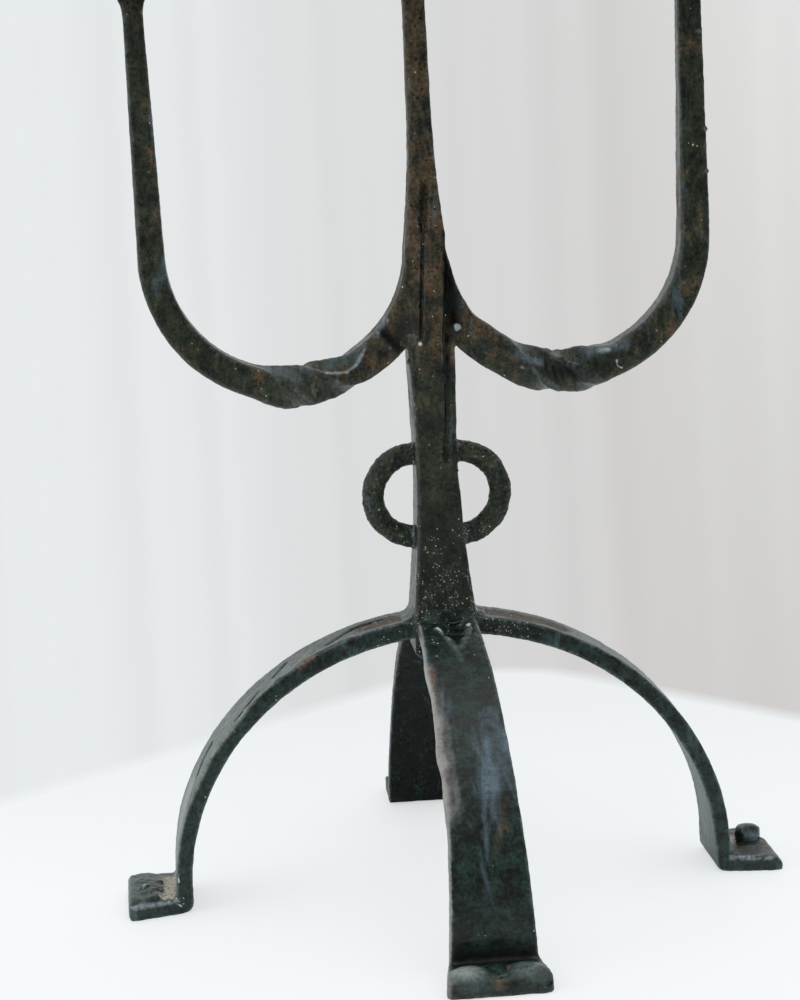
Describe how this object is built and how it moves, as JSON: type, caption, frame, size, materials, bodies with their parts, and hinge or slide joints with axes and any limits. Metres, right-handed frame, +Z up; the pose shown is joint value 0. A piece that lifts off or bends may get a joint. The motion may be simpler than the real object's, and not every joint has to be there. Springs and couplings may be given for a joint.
{
  "type": "candle stand",
  "caption": "Hand-forged iron candle stand: square stem, curved half-twisted arms, drip pans and sockets, half-ring handles and arched flat-bar legs with riveted feet.",
  "frame": {"origin": "on the floor, at the middle of the square that the four feet's ends make", "axes": "+Z up; +X to the right light as the picture shows the stand; the front leg points to -Y"},
  "size_m": [0.2912, 0.2912, 0.4246],
  "materials": {
    "stem_iron": "forged square bar, dark with brown rust, rough and faintly shiny",
    "arm_iron": "forged square bar, waxed black with a cool grey sheen on the twists",
    "ring_iron": "round rod, waxed black, pitted on the inner side",
    "leg_iron": "hammered flat bar, waxed black, worn blue-grey on the edges",
    "rivet_iron": "hammered rivet heads, black with bright high spots",
    "weld_iron": "lumpy weld metal, dark and shiny",
    "light_iron": "dished and rolled sheet iron, waxed black, satin"
  },
  "bodies": {
    "root": {"stem": "stem_iron", "left_arm": "arm_iron", "right_arm": "arm_iron", "left_ring": "ring_iron", "right_ring": "ring_iron", "left_leg": "leg_iron", "right_leg": "leg_iron", "front_leg": "leg_iron", "back_leg": "leg_iron", "left_foot_rivet": "rivet_iron", "right_foot_rivet": "rivet_iron", "front_foot_rivet": "rivet_iron", "back_foot_rivet": "rivet_iron", "leg_welds": "weld_iron", "ring_welds": "weld_iron", "left_pan": "light_iron", "center_pan": "light_iron", "right_pan": "light_iron", "left_socket": "light_iron", "center_socket": "light_iron", "right_socket": "light_iron"}
  },
  "joints": []
}
